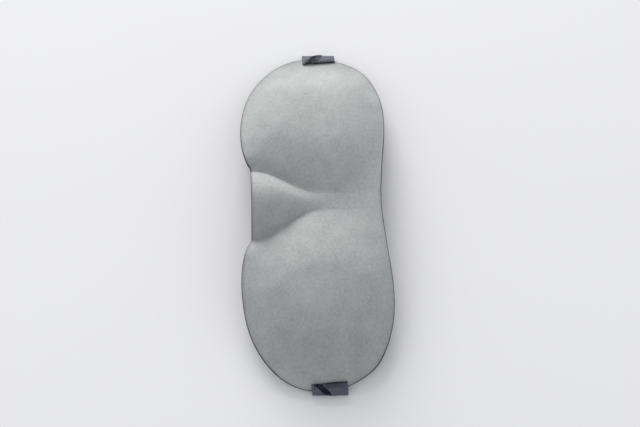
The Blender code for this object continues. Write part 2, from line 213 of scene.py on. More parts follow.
# Half the outline, from the middle of the forehead edge round the tip to the middle of the nose
# edge, as shares of the half-length and half-height.
FOREHEAD = [(0.0, 0.892), (0.223, 0.933), (0.446, 0.995), (0.625, 0.987), (0.777, 0.888),
            (0.884, 0.731), (0.951, 0.495), (0.990, 0.247)]
TIP = (1.0, 0.060)
CHEEK = [(0.987, -0.237), (0.929, -0.520), (0.819, -0.768), (0.679, -0.931), (0.509, -1.0),
         (0.357, -0.987), (0.250, -0.920)]
NOSE_CORNER = -0.866
NOSE_MIDDLE = -0.834

# ---- knit, colours and stage ---------------------------------------------------------------------
WALE = 0.62 * MM  # width of one knitted stitch
COURSE = 0.46 * MM  # and its height
GREY = (0.385, 0.402, 0.399)
CHARCOAL = (0.028, 0.029, 0.032)
FOAM_DARK = (0.036, 0.036, 0.038)
STRAP_NAVY = (0.070, 0.079, 0.112)
PILE_NAVY = (0.013, 0.015, 0.022)
HOOK_BLACK = (0.016, 0.017, 0.021)
THREAD_DARK = (0.012, 0.0135, 0.019)
FLOOR_DARK, FLOOR_LIGHT = (0.75, 0.75, 0.775), (0.83, 0.83, 0.85)
FLOOR_SIZE = 6.0
SKY_COLOUR, SKY_STRENGTH = (0.97, 0.98, 1.0, 1.0), 0.7
WINDOW_ELEVATION = math.radians(21.5)
WINDOW_TURN = math.radians(11.0)  # towards the nose side, from the mask's right end
WINDOW_DISTANCE = 3.0
WINDOW_SIZE, WINDOW_POWER, WINDOW_COLOUR = 2.2, 97.0, (1.0, 0.99, 0.97)
CAMERA_TILT = math.radians(17.5)  # from straight above, towards the mask's left end
CAMERA_DISTANCE = 0.5747
CAMERA_TURN = math.radians(1.96)  # about the vertical
CAMERA_SLIDE = 1.4 * MM  # towards the mask's right end
CAMERA_MIDDLE = Vector((0.0, 2.9 * MM, 3.5 * MM))  # what it turns about
LENS, SENSOR = 50.0, 36.0  # millimetres, as the camera takes them

RIM = COVER + FOAM_RIM + LINING + 2 * GAP
FOLD_RADIUS = RIM / 2 + GAP + STRAP_THICK / 2
FOLD_Z = FOLD_RADIUS + STRAP_THICK / 2
TIP_TOP = FOLD_Z + RIM / 2
TIP_SLOPE = math.atan(2 * WRAP_RISE / HALF_LENGTH)
TAB = (SEWN_LENGTH * math.cos(TIP_SLOPE) - FOLD_RADIUS * math.sin(TIP_SLOPE)) + TAB_MARGIN
FOLD_TURN = math.pi - TIP_SLOPE
FOLD_ARC = FOLD_RADIUS * FOLD_TURN
UNDER_SKEW = math.asin((STRAP_WIDTH + SIDE_GAP) / (2 * HALF_LENGTH))
FOLD_SLANT = math.tan(UNDER_SKEW - AXIS_SKEW)
STRAP_LENGTH = 2 * HALF_LENGTH - TAIL_CLEARANCE
TAPE_WIDTH = STRAP_WIDTH - 2 * TAPE_SIDE
TAPE_END = STRAP_LENGTH - TAPE_MARGIN
LOOP_START = TAPE_END - LOOP_LENGTH
HOOK_START = TAPE_END - HOOK_LENGTH
BEND_AT = LOOP_START - BEND_TO_TAPE
RAMP_END = BEND_AT - RAMP_TO_BEND
RAMP_START = RAMP_END - RAMP
LIFT = TAPE_THICK + GAP


# ---- materials -----------------------------------------------------------------------------------
class Look:
    """A procedural material. Values that are the same all over are set on the shader's sockets."""

    def __init__(self, name, sockets):
        self.material = bpy.data.materials.new(name)
        self.material.use_nodes = True
        self.nodes = self.material.node_tree.nodes
        self.links = self.material.node_tree.links
        self.shader = self.nodes["Principled BSDF"]
        for socket, value in sockets.items():
            self.shader.inputs[socket].default_value = value

    def node(self, kind, inputs, **settings):
        made = self.nodes.new("ShaderNode" + kind)
        for name, value in settings.items():
            setattr(made, name, value)
        for socket, value in inputs.items():
            if isinstance(value, bpy.types.NodeSocket):
                self.links.new(value, made.inputs[socket])
            else:
                made.inputs[socket].default_value = value
        return made

    def math(self, operation, *values):
        return self.node("Math", dict(enumerate(values)), operation=operation).outputs[0]

    def place(self, attribute="weave"):
        """Where a point lies on the flat cloth, in metres."""
        return self.node("Attribute", {}, attribute_name=attribute).outputs["Vector"]

    def axes(self, place):
        split = self.node("SeparateXYZ", {"Vector": place})
        return split.outputs["X"], split.outputs["Y"]

    def noise(self, place, size, detail=2.0):
        made = self.node("TexNoise", {"Vector": place, "Scale": 1 / size, "Detail": detail})
        return made.outputs["Fac"]

    def wobbled(self, place, size, amount):
        """The same place, moved a little each way by noise."""
        shift = self.node("TexNoise", {"Vector": place, "Scale": 1 / size, "Detail": 1.0})
        centred = self.node("VectorMath", {0: shift.outputs["Color"], 1: (0.5, 0.5, 0.5)},
                            operation="SUBTRACT").outputs[0]
        scaled = self.node("VectorMath", {0: centred, "Scale": 2 * amount}, operation="SCALE")
        return self.node("VectorMath", {0: place, 1: scaled.outputs[0]}, operation="ADD").outputs[0]

    def wave(self, value, pitch, shift=0.0):
        """A sine from 0 to 1 with that pitch."""
        turned = self.math("MULTIPLY_ADD", value, 2 * math.pi / pitch, shift)
        return self.math("MULTIPLY_ADD", self.math("SINE", turned), 0.5, 0.5)

    def weigh(self, *parts):
        """A sum of values times weights, about a middle of one half."""
        total = 0.5
        for value, weight in parts:
            total = self.math("ADD", self.math("MULTIPLY_ADD", value, weight, -weight / 2), total)
        return total

    def colour(self, value, dark, light):
        ramp = self.node("ValToRGB", {"Fac": value})
        ramp.color_ramp.elements[0].color = (*dark, 1.0)
        ramp.color_ramp.elements[1].color = (*light, 1.0)
        self.links.new(ramp.outputs["Color"], self.shader.inputs["Base Color"])

    def roughness(self, value, low, high):
        self.links.new(self.math("MULTIPLY_ADD", value, high - low, low),
                       self.shader.inputs["Roughness"])

    def bump(self, height, depth):
        made = self.node("Bump", {"Height": height, "Strength": 1.0, "Distance": depth})
        self.links.new(made.outputs["Normal"], self.shader.inputs["Normal"])


def knit_height(look, place):
    """Columns of small V-shaped stitches."""
    x, y = look.axes(place)
    arm = look.math("PINGPONG", look.math("DIVIDE", x, WALE), 0.5)
    along = look.math("MULTIPLY_ADD", arm, 1.1 * COURSE, y)
    yarn = look.wave(along, COURSE)
    column = look.math("POWER", look.math("SINE", look.math("MULTIPLY", arm, 2 * math.pi)), 2.0)
    column = look.math("MULTIPLY_ADD", column, 0.6, 0.4)
    return look.math("MULTIPLY", yarn, column)


def shade(colour, factor):
    return tuple(channel * factor for channel in colour)


def cover_look():
    look = Look("soft_grey_jersey", {"Specular IOR Level": 0.18, "Sheen Weight": 0.22,
                                     "Sheen Roughness": 0.45, "Sheen Tint": (0.95, 0.97, 1.0, 1.0)})
    place = look.wobbled(look.place(), 1.6 * MM, 0.12 * MM)
    knit = knit_height(look, place)
    fuzz = look.noise(place, 0.35 * MM, 3.0)
    clumps = look.noise(place, 1.7 * MM, 3.0)
    mottle = look.noise(place, 9 * MM, 3.0)
    patches = look.noise(place, 38 * MM, 2.0)
    rim = look.node("Attribute", {}, attribute_name="rim").outputs["Fac"]
    tone = look.weigh((knit, 0.22), (fuzz, 0.5), (clumps, 0.95), (mottle, 0.6), (patches, 0.55),
                      (rim, -0.42))
    look.colour(look.math("ADD", tone, -0.21), shade(GREY, 0.74), shade(GREY, 1.2))
    look.roughness(fuzz, 0.8, 0.96)
    height = look.math("ADD", look.math("MULTIPLY", knit, 0.5), look.math("MULTIPLY", fuzz, 0.5))
    look.bump(look.math("MULTIPLY_ADD", clumps, 0.8, height), 0.11 * MM)
    return look.material


def lining_look():
    look = Look("charcoal_jersey", {"Specular IOR Level": 0.2, "Sheen Weight": 0.18,
                                    "Sheen Roughness": 0.5, "Sheen Tint": (0.8, 0.85, 1.0, 1.0)})
    place = look.wobbled(look.place(), 1.8 * MM, 0.1 * MM)
    knit = knit_height(look, place)
    fuzz = look.noise(place, 0.4 * MM, 3.0)
    mottle = look.noise(place, 9 * MM, 3.0)
    look.colour(look.weigh((knit, 0.5), (fuzz, 0.6), (mottle, 0.6)),
                shade(CHARCOAL, 0.55), shade(CHARCOAL, 1.7))
    look.roughness(fuzz, 0.78, 0.95)
    look.bump(look.math("MULTIPLY_ADD", fuzz, 0.5, knit), 0.12 * MM)
    return look.material


def foam_look():
    look = Look("open_cell_foam", {"Specular IOR Level": 0.25})
    place = look.node("TexCoord", {}).outputs["Object"]
    cells = look.node("TexVoronoi", {"Vector": place, "Scale": 1 / (0.42 * MM)}).outputs["Distance"]
    grain = look.noise(place, 2.2 * MM, 3.0)
    look.colour(look.weigh((cells, 0.9), (grain, 0.6)), shade(FOAM_DARK, 0.4), shade(FOAM_DARK, 1.6))
    look.roughness(grain, 0.85, 0.98)
    look.bump(cells, 0.2 * MM)
    return look.material


def elastic_look():
    look = Look("ribbed_navy_elastic", {"Sheen Weight": 0.3, "Sheen Roughness": 0.35,
                                        "Sheen Tint": (0.55, 0.68, 0.95, 1.0)})
    place = look.place()
    across, along = look.axes(look.wobbled(place, 3.0 * MM, 0.05 * MM))
    rib = look.wave(across, RIB)
    pick = look.wave(along, 0.42 * MM)
    slant = look.wave(look.math("MULTIPLY_ADD", across, 0.55, along), 0.84 * MM)
    worn = look.noise(place, 5.0 * MM, 3.0)
    fibre = look.noise(place, 0.22 * MM, 2.0)
    weave = look.weigh((rib, 0.45), (pick, 0.25), (slant, 0.3), (fibre, 0.4))
    # Painted shade: the crease attribute darkens the colour and lowers the gloss on the pleat's steep
    # face and along the raw end.
    crease = look.node("Attribute", {}, attribute_name="crease").outputs["Fac"]
    tone = look.math("MULTIPLY_ADD", crease, -0.6, look.weigh((weave, 0.8), (worn, 0.6)))
    look.colour(tone, shade(STRAP_NAVY, 0.08), shade(STRAP_NAVY, 1.9))
    gloss_under_painted_shade = look.math("MULTIPLY_ADD", crease, -0.45, 0.5)
    look.links.new(gloss_under_painted_shade, look.shader.inputs["Specular IOR Level"])
    look.roughness(look.weigh((worn, 0.6), (fibre, 0.4)), 0.4, 0.66)
    look.bump(weave, 0.16 * MM)
    return look.material


def pile_look():
    look = Look("brushed_loop_pile", {"Specular IOR Level": 0.3, "Sheen Weight": 0.5,
                                      "Sheen Roughness": 0.4,
                                      "Sheen Tint": (0.6, 0.7, 0.95, 1.0)})
    place = look.wobbled(look.place(), 1.4 * MM, 0.3 * MM)
    curls = look.node("TexVoronoi", {"Vector": place, "Scale": 1 / (0.6 * MM)}).outputs["Distance"]
    fibre = look.noise(place, 0.25 * MM, 3.0)
    nap = look.noise(place, 7 * MM, 3.0)
    look.colour(look.weigh((curls, 0.6), (fibre, 0.6), (nap, 0.5)),
                shade(PILE_NAVY, 0.5), shade(PILE_NAVY, 2.0))
    look.roughness(fibre, 0.75, 0.95)
    look.bump(look.math("MULTIPLY_ADD", fibre, 0.6, curls), 0.22 * MM)
    return look.material


def hook_look():
    look = Look("moulded_hook_nylon", {"Specular IOR Level": 0.5, "Coat Weight": 0.05})
    place = look.node("TexCoord", {}).outputs["Object"]
    flow = look.noise(place, 1.1 * MM, 2.0)
    grain = look.noise(place, 0.2 * MM, 2.0)
    look.colour(look.weigh((flow, 0.7), (grain, 0.4)),
                shade(HOOK_BLACK, 0.7), shade(HOOK_BLACK, 1.5))
    look.roughness(flow, 0.36, 0.55)
    look.bump(grain, 0.02 * MM)
    return look.material


def thread_look():
    look = Look("twisted_polyester_thread", {"Specular IOR Level": 0.55, "Sheen Weight": 0.15,
                                             "Sheen Roughness": 0.4})
    place = look.place()
    across, along = look.axes(place)
    twist = look.wave(look.math("MULTIPLY_ADD", across, 0.6, along), 0.5 * MM)
    fibre = look.noise(place, 0.1 * MM, 2.0)
    look.colour(look.weigh((twist, 0.8), (fibre, 0.4)),
                shade(THREAD_DARK, 0.5), shade(THREAD_DARK, 2.2))
    look.roughness(fibre, 0.4, 0.65)
    look.bump(twist, 0.08 * MM)
    return look.material


def floor_look():
    look = Look("pale_floor", {"Specular IOR Level": 0.15})
    place = look.node("TexCoord", {}).outputs["Object"]
    cloud = look.noise(place, 0.35, 2.0)
    grain = look.noise(place, 0.9 * MM, 2.0)
    look.colour(look.weigh((cloud, 0.5), (grain, 0.3)), FLOOR_DARK, FLOOR_LIGHT)
    look.roughness(grain, 0.6, 0.75)
    return look.material


# ---- mesh tools ----------------------------------------------------------------------------------
def eased(share):
    share = np.clip(share, 0.0, 1.0)
    return share * share * (3 - 2 * share)


def add_piece(name, mesh, look):
    mesh.materials.append(look)
    made = bpy.data.objects.new(name, mesh)
    bpy.context.scene.collection.objects.link(made)
    return made


def mesh_of(name, points, faces, weave):
    mesh = bpy.data.meshes.new(name)
    mesh.from_pydata([tuple(point) for point in points], [], faces)
    bm = bmesh.new()
    bm.from_mesh(mesh)
    bmesh.ops.recalc_face_normals(bm, faces=bm.faces)
    bm.to_mesh(mesh)
    bm.free()
    mesh.shade_smooth()
    set_attribute(mesh, "weave", weave)
    return mesh


def set_attribute(mesh, name, values):
    values = np.asarray(values, np.float32)
    if values.ndim == 1:
        mesh.attributes.new(name, "FLOAT", "POINT").data.foreach_set("value", values)
        return
    flat = np.zeros((len(values), 3), np.float32)
    flat[:, :values.shape[1]] = values
    mesh.attributes.new(name, "FLOAT_VECTOR", "POINT").data.foreach_set("vector", flat.ravel())


def grid_faces(index):
    corners = (index[:-1, :-1], index[:-1, 1:], index[1:, 1:], index[1:, :-1])
    return np.stack([corner.ravel() for corner in corners], axis=1).tolist()


def border(index):
    """The indices round a grid, in order."""
    return np.concatenate([index[0, :-1], index[:-1, -1], index[-1, :0:-1], index[:0:-1, 0]])


def closed_shell(name, top, bottom, weave, pull, proud=0.0):
    """A closed layer between two grids of points, with a rounded edge.

    pull rounds the edge by drawing both faces in, and proud moves the whole edge out, or in if
    it is below zero.
    """
    rows, columns = top.shape[:2]
    count = rows * columns
    index = np.arange(count).reshape(rows, columns)
    loop = border(index)
    upper, lower = top.reshape(-1, 3).copy(), bottom.reshape(-1, 3).copy()
    rim_top, rim_bottom = upper[loop], lower[loop]
    tangent = np.roll(rim_top, -1, axis=0) - np.roll(rim_top, 1, axis=0)
    outward = np.cross(tangent, rim_top - rim_bottom)
    outward /= np.maximum(np.linalg.norm(outward, axis=1, keepdims=True), NO_LENGTH)
    middle = columns // 2
    if outward[middle] @ (top[0, middle] - top[1, middle]) < 0:
        outward = -outward
    upper[loop] = rim_top + outward * (proud - pull)
    lower[loop] = rim_bottom + outward * (proud - pull)
    points, faces = [upper], grid_faces(index)
    previous = loop
    start = count
    for share in EDGE_RINGS:
        points.append(rim_top + (rim_bottom - rim_top) * share + outward * proud)
        ring = np.arange(start, start + len(loop))
        faces += ring_faces(previous, ring)
        previous = ring
        start += len(loop)
    points.append(lower)
    faces += ring_faces(previous, loop + start)
    faces += grid_faces(index[::-1] + start)
    flat = weave.reshape(count, -1)
    return mesh_of(name, np.vstack(points), faces, shell_values(flat, loop)), loop


def shell_values(flat, loop):
    """One value for each point of a closed shell, from the values over its grid."""
    return np.concatenate([flat, *[flat[loop] for _ in EDGE_RINGS], flat])


def ring_faces(first, second):
    corners = (first, second, np.roll(second, -1), np.roll(first, -1))
    return np.stack(corners, axis=1).tolist()


def tubes(name, paths, radius, up, sides=6):
    """One mesh of many short round threads. Each path is a list of points, up their upward side."""
    points, faces, weave = [], [], []
    angles = np.linspace(0, 2 * math.pi, sides, endpoint=False)
    for path in paths:
        path = np.array(path, float)
        first = len(points)
        tangent = np.gradient(path, axis=0)
        tangent /= np.linalg.norm(tangent, axis=1, keepdims=True)
        side = np.cross(tangent, np.array(up, float))
        lengths = np.linalg.norm(side, axis=1, keepdims=True)
        side = np.where(lengths > FLAT_PATH, side / np.maximum(lengths, FLAT_PATH), [[1.0, 0.0, 0.0]])
        over = np.cross(side, tangent)
        reach = 0.0
        for step, (centre, one, two) in enumerate(zip(path, side, over)):
            if step:
                reach += float(np.linalg.norm(centre - path[step - 1]))
            for angle in angles:
                points.append(centre + radius * (math.cos(angle) * one + math.sin(angle) * two))
                weave.append((angle * radius * 2, reach))
        for step in range(len(path) - 1):
            ring = first + step * sides
            for k in range(sides):
                nxt = (k + 1) % sides
                faces.append([ring + k, ring + nxt, ring + sides + nxt, ring + sides + k])
        faces.append([first + k for k in range(sides)][::-1])
        faces.append([first + (len(path) - 1) * sides + k for k in range(sides)])
    return mesh_of(name, points, faces, weave)


# ---- outline and surface of the mask -------------------------------------------------------------
def smooth_curve(points):
    """A smooth curve through points, mirrored in the Y axis past both ends."""
    points = np.array(points)
    mirror = np.array([-1.0, 1.0])
    knots = np.vstack([points[1] * mirror, points, points[-2] * mirror])
    t = np.linspace(0, 1, PER_SPAN, endpoint=False)[:, None]
    spans = []
    for a, b, c, d in zip(knots, knots[1:], knots[2:], knots[3:]):
        spans.append(b + 0.5 * t * (c - a + t * (2 * a - 5 * b + 4 * c - d
                                                 + t * (3 * (b - c) + d - a))))
    return np.vstack([*spans, points[-1:]])


def half_outline():
    """The forehead edge and the nose edge, each from the middle of the mask to its tip."""
    shares = [*FOREHEAD, TIP, *CHEEK, (ARCH_HALF / HALF_LENGTH, NOSE_CORNER), (0.0, NOSE_MIDDLE)]
    curve = smooth_curve(np.array(shares) * [HALF_LENGTH, HALF_HEIGHT])
    tip = int(np.argmax(curve[:, 0]))
    return curve[:tip + 1], curve[tip:][::-1]


def distance_to(curve, x, y):
    points = np.stack([x, y], axis=-1)
    return np.sqrt(((points[:, None, :] - curve[None]) ** 2).sum(-1)).min(1)


class Surface:
    """The mask's outer surface over a grid of u, -1 to 1 along the mask, and v, 0 to 1 across it."""

    def __init__(self, u, v):
        forehead, nose = half_outline()
        depth = (forehead[0, 1] - nose[0, 1]) * v / ARCH_DEPTH
        bell = (1 + np.cos(np.clip(depth, 0, 1) * math.pi)) / 2
        self.crease = np.hypot(math.sqrt(ARCH_HALF ** 2 - VALLEY_HALF ** 2) * bell ** ARCH_TAPER,
                               VALLEY_HALF)
        side = np.abs(self.columns(np.abs(u)))
        low = np.interp(side, nose[:, 0], nose[:, 1])
        high = np.interp(side, forehead[:, 0], forehead[:, 1])
        self.x = (side * np.sign(u)
                  - MIDDLE_SHIFT * (1 - (side / HALF_LENGTH) ** 2) ** 2)
        self.y = low + v * (high - low)
        to_forehead = distance_to(forehead, side, self.y)
        to_nose = distance_to(nose, side, self.y)
        self.inset = 1 / np.sqrt(1 / np.maximum(to_forehead, NEAREST) ** 2
                                 + 1 / np.maximum(to_nose, NEAREST) ** 2)
        self.z = (TIP_TOP + WRAP_RISE * (1 - (side / HALF_LENGTH) ** 2)
                  + self.dome(side, depth) + self.arch(side * np.sign(u), bell)
                  + self.swell(side, depth))
        self.foam = self.foam_thickness(side)

    def columns(self, share):
        """Distance from the middle: the first columns fill the arch, the others reach the tip."""
        split = ARCH_COLUMNS / (ARCH_COLUMNS + OUTER_COLUMNS)
        outer = np.clip((share - split) / (1 - split), 0, 1)
        reach = HALF_LENGTH - TIP_CUT
        bunched = EVEN_COLUMNS * outer + (1 - EVEN_COLUMNS) * np.sin(outer * math.pi / 2)
        return np.where(share <= split, self.crease * share / split,
                        self.crease + (reach - self.crease) * bunched)

    def dome(self, side, depth):
        out = (side - self.crease) / DOME_START
        crisp = np.sin(np.clip(out, 0, 1) * math.pi / 2)
        soft = VALLEY_SOFT * eased((depth - SOFT_DEPTH) / SOFT_DEPTH)
        height = VALLEY + (CROWN - VALLEY) * ((1 - soft) * crisp + soft * eased(out))
        rise = np.clip((self.inset - FLANGE) / DOME_ROUND, 0, 1)
        fade = np.sin(np.clip((HALF_LENGTH - side - TAB) / TAB_FADE, 0, 1) * math.pi / 2)
        return height * (1 - (1 - rise) ** 2) ** DOME_POWER * fade

    def arch(self, along, bell):
        across = np.clip(along / self.crease, -1, 1)
        return ARCH_RISE * bell ** ARCH_FADE * (1 - across ** 2) * (1 - ARCH_LEAN * across)

    def swell(self, side, depth):
        out = side - self.crease
        near = np.sin(np.clip(out / SWELL_NEAR, 0, 1) * math.pi / 2)
        far = 1 - eased((out - SWELL_NEAR) / SWELL_FAR)
        return SWELL * near * far * (1 - eased(depth * ARCH_DEPTH / SWELL_DEPTH))

    def foam_thickness(self, side):
        ring = eased((self.inset - FLANGE) / RING_START)
        ring = ring * np.sin(np.clip((HALF_LENGTH - side - TAB) / TAB_FADE, 0, 1) * math.pi / 2)
        radius = np.hypot((side - CUP_X) / CUP_LENGTH, (self.y - CUP_Y) / CUP_HEIGHT)
        cup = eased((1 - radius) / CUP_WALL)
        nose = eased(1 - (side - self.crease) / (CUP_X - CUP_LENGTH))
        thick = FOAM_RIM + (FOAM_RING - FOAM_RIM) * ring
        return thick + (np.minimum(FOAM_CUP, thick) - thick) * np.maximum(cup, nose)


def mask_grid():
    """The surface over the whole mask, rows from the nose edge to the forehead edge."""
    columns = 2 * (ARCH_COLUMNS + OUTER_COLUMNS) + 1
    u = np.linspace(-1, 1, columns)
    across = np.linspace(0, 1, ROWS + 1)
    v = EVEN_ROWS * across + (1 - EVEN_ROWS) * (1 - np.cos(across * math.pi)) / 2
    u, v = (axis.ravel() for axis in np.meshgrid(u, v))
    return Surface(u, v), (ROWS + 1, columns)


def relief(surface):
    """Small unevenness of a pressed soft sheet: low waves, and the pressed line inside the rim."""
    waves = np.array([noise.noise(Vector((x / WAVE, y / WAVE, WAVE_PLACE)))
                      + RIPPLE_SHARE * noise.noise(Vector((x / RIPPLE, y / RIPPLE, RIPPLE_PLACE)))
                      for x, y in zip(surface.x, surface.y)])
    inside = eased((surface.inset - FLANGE) / WAVE_FADE)
    pressed = np.exp(-((surface.inset - FLANGE) / PRESS_WIDTH) ** 2)
    return WAVE_HEIGHT * waves * inside - PRESS_DEPTH * pressed


def build_mask(looks):
    surface, shape = mask_grid()
    height = surface.z + relief(surface)
    weave = np.stack([surface.x, surface.y], axis=-1)

    def at(z):
        return np.stack([surface.x, surface.y, z], axis=-1).reshape(*shape, 3)

    cover_back = surface.z - COVER
    foam_back = surface.z - COVER - 2 * GAP - surface.foam
    mesh, loop = closed_shell("mask_cover", at(height), at(cover_back), weave, KNIT_EDGE,
                              -COVER_SHORT)
    rim = np.exp(-(surface.inset / RIM_SHADE) ** 2)
    set_attribute(mesh, "rim", shell_values(rim, loop))
    cover = add_piece("mask_cover", mesh, looks["cover"])
    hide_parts("outer_cover")

    mesh, _ = closed_shell("mask_foam", at(cover_back - HAIR), at(foam_back + HAIR), weave,
                           FOAM_EDGE)
    foam = add_piece("mask_foam", mesh, looks["foam"])
    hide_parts("foam_core")

    mesh, _ = closed_shell("mask_lining", at(foam_back), at(foam_back - LINING), weave, KNIT_EDGE,
                           LINING_PROUD)
    lining = add_piece("mask_lining", mesh, looks["lining"])
    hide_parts("inner_lining")

    for piece in (cover, foam, lining):
        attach(piece, "mask")
    area = outline_area() * FLAT_EXTRA_AREA


def outline_area():
    """The area inside the whole outline, seen from above."""
    forehead, nose = half_outline()
    width = np.linspace(0, HALF_LENGTH, AREA_STEPS)
    height = (np.interp(width, forehead[:, 0], forehead[:, 1])
              - np.interp(width, nose[:, 0], nose[:, 1]))
    return 2 * float(height.sum() * (width[1] - width[0]))


# ---- strap halves --------------------------------------------------------------------------------
class StrapHalf:
    """Where one strap half runs. The right half is the left one turned half round the mask."""

    def __init__(self, side):
        self.side = side
        self.name = "left" if side > 0 else "right"
        self.fold = Vector((HALF_LENGTH, STRAP_Y, FOLD_Z))
        self.along = Vector((-math.cos(UNDER_SKEW), math.sin(UNDER_SKEW), 0))
        self.across = Vector((math.sin(UNDER_SKEW), math.cos(UNDER_SKEW), 0))
        self.axis = Vector((-math.sin(AXIS_SKEW), -math.cos(AXIS_SKEW), 0))

    def world(self, point):
        if self.side > 0:
            return point
        return Vector((-point.x, 2 * STRAP_Y - point.y, point.z))

    def flat(self, reach, offset, height):
        """A point on the folded strap: reach from the fold, offset across, height off the ground."""
        place = self.fold + self.along * reach + self.across * offset
        return self.world(Vector((place.x, place.y, height)))

    def turned(self, angle, inward, offset, lift=0.0):
        """A point turned about the fold's axis, inward of it, lift off the elastic's middle."""
        turn = Matrix.Rotation(angle, 3, self.axis)
        start = Vector((0, 0, -FOLD_RADIUS - lift)) + self.across * offset - self.along * inward
        return self.world(self.fold + turn @ start)

    def climb(self, reach):
        """Height of the elastic's middle. The left half climbs over its loop tape."""
        share = float(eased((reach - RAMP_START) / (RAMP_END - RAMP_START)))
        return STRAP_THICK / 2 + (LIFT * share if self.side > 0 else 0.0)

    def elastic(self, run, offset, lift):
        """A point of the elastic: run from its sewn raw end, lift towards its outer face."""
        if run <= SEWN_LENGTH:
            inward = SEWN_LENGTH - run
            return self.turned(FOLD_TURN, inward - offset * FOLD_SLANT * run / SEWN_LENGTH,
                               offset, lift)
        if run <= SEWN_LENGTH + FOLD_ARC:
            angle = FOLD_TURN - (run - SEWN_LENGTH) / FOLD_RADIUS
            return self.turned(angle, -offset * FOLD_SLANT, offset, lift)
        reach = run - SEWN_LENGTH - FOLD_ARC
        fade = 1 - float(eased(reach / SLANT_FADE))
        return self.flat(reach + offset * FOLD_SLANT * fade, offset, self.climb(reach) - lift)


def run_at(reach):
    """The run of the place that lies reach past the fold."""
    return SEWN_LENGTH + FOLD_ARC + reach


def stations(start, end, fine):
    """Runs from start to end, closer together where the elastic turns."""
    runs = [start]
    while runs[-1] < end - LAST_STEP:
        near = any(low <= runs[-1] <= high for low, high in fine)
        runs.append(min(runs[-1] + (FINE if near else COARSE), end))
    return runs


def pleat(run, offset):
    """The slanting pleat that the sewn end is pressed into: its height, and how strongly painted shade
    darkens it on its steep face and along its raw end.
    """
    share = run / SEWN_LENGTH
    past = offset - PLEAT_START - (PLEAT_END - PLEAT_START) * share
    rise = np.clip(past / PLEAT_WIDTH + 1, 0, 1) * (1 - eased(past / PLEAT_BACK))
    hold = max(float(1 - eased((run - SEWN_LENGTH) / PLEAT_FADE)), 0.0)
    # painted shade on the pleat's steep face, where the fold turns away from the light
    face = eased((past + PLEAT_WIDTH) / PLEAT_EDGE) * (1 - eased(past / PLEAT_EDGE + 0.5))
    # painted shade along the raw end, past the pleat
    raw_end_shade = RAW_SHADE * eased((past - PLEAT_EDGE) / PLEAT_EDGE) * (1 - eased(run / RAW_EDGE))
    grown = PLEAT_RAW_SHARE + (1 - PLEAT_RAW_SHARE) * float(eased(share))
    return PLEAT_HEIGHT * float(rise) * hold * grown, float(max(face, raw_end_shade)) * hold


def elastic_mesh(half, name, runs, raw_start=False, raw_end=False):
    """A stretch of ribbed elastic, with its cut end where it has one."""
    ribs = round(STRAP_WIDTH / RIB)
    offsets = np.linspace(-STRAP_WIDTH / 2, STRAP_WIDTH / 2, 2 * ribs + 1)
    top = np.zeros((len(runs), len(offsets), 3))
    bottom = np.zeros_like(top)
    weave = np.zeros((len(runs), len(offsets), 2))
    painted_fold_shade = np.zeros((len(runs), len(offsets)))
    teeth = random.Random(half.name + name)
    for row, run in enumerate(runs):
        frayed = (raw_start and row == 0) or (raw_end and row == len(runs) - 1)
        for column, offset in enumerate(offsets):
            groove = RIB_DEPTH if column % 2 == 0 else 0.0
            tooth = teeth.uniform(-FRAY, FRAY) if frayed else 0.0
            raised, painted_fold_shade[row, column] = pleat(run, offset * half.side) if raw_start else (0, 0)
            wave = SAG * noise.noise(Vector((run / SAG_SIZE, offset / SAG_SIZE, half.side)))
            lift = raised + min(wave, 0.0)
            face = STRAP_THICK / 2 - groove
            top[row, column] = half.elastic(max(run + tooth, 0.0), offset, face + lift)
            bottom[row, column] = half.elastic(max(run + tooth, 0.0), offset, lift - face)
            weave[row, column] = (offset + RIB / 4, run)
    mesh, loop = closed_shell(name, top, bottom, weave, STRAP_EDGE)
    # the crease attribute holds painted shade for the pleat's fold and the raw end
    set_attribute(mesh, "crease", shell_values(painted_fold_shade.ravel(), loop))
    return mesh


def build_elastic(half, looks):
    """Each half in two pieces, because a piece may bend across one joint only."""
    name = half.name
    split = run_at(SPLIT)
    runs = stations(0.0, split, [(0.0, run_at(FOLD_FINE))])
    mesh = elastic_mesh(half, name + "_strap_sewn_part", runs, raw_start=True)
    sewn = add_piece(name + "_strap_sewn_part", mesh, looks["elastic"])
    top = half.turned(math.pi - SWING_TILT, 0.0, 0.0)
    bottom = half.turned(-SWING_TILT, 0.0, 0.0)
    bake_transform(sewn)
    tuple(top)
    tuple(bottom)
    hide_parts(name + "_strap_end", name + "_strap_fold", name + "_strap")

    end = run_at(STRAP_LENGTH)
    bend = run_at(BEND_AT)
    runs = stations(split, end, [(bend - BEND_FINE, bend + BEND_FINE)])
    mesh = elastic_mesh(half, name + "_strap_free_part", runs, raw_end=True)
    free = add_piece(name + "_strap_free_part", mesh, looks["elastic"])
    level = half.climb(BEND_AT)
    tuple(half.flat(BEND_AT - BEND_SPREAD, 0, level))
    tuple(half.flat(BEND_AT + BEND_SPREAD, 0, level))
    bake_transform(free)
    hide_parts(name + "_strap_tail")


# ---- stitches ------------------------------------------------------------------------------------
def stitch(place, start, end, height, dip):
    """One stitch between two places, each (run or reach, offset), that sinks in at its ends."""
    path = []
    for t in np.linspace(0, 1, STITCH_POINTS):
        along = start[0] + (end[0] - start[0]) * t
        offset = start[1] + (end[1] - start[1]) * t
        sunk = 1 - math.sin(math.pi * t) ** STITCH_BOW
        path.append(place(along, offset, height - dip * sunk))
    return path


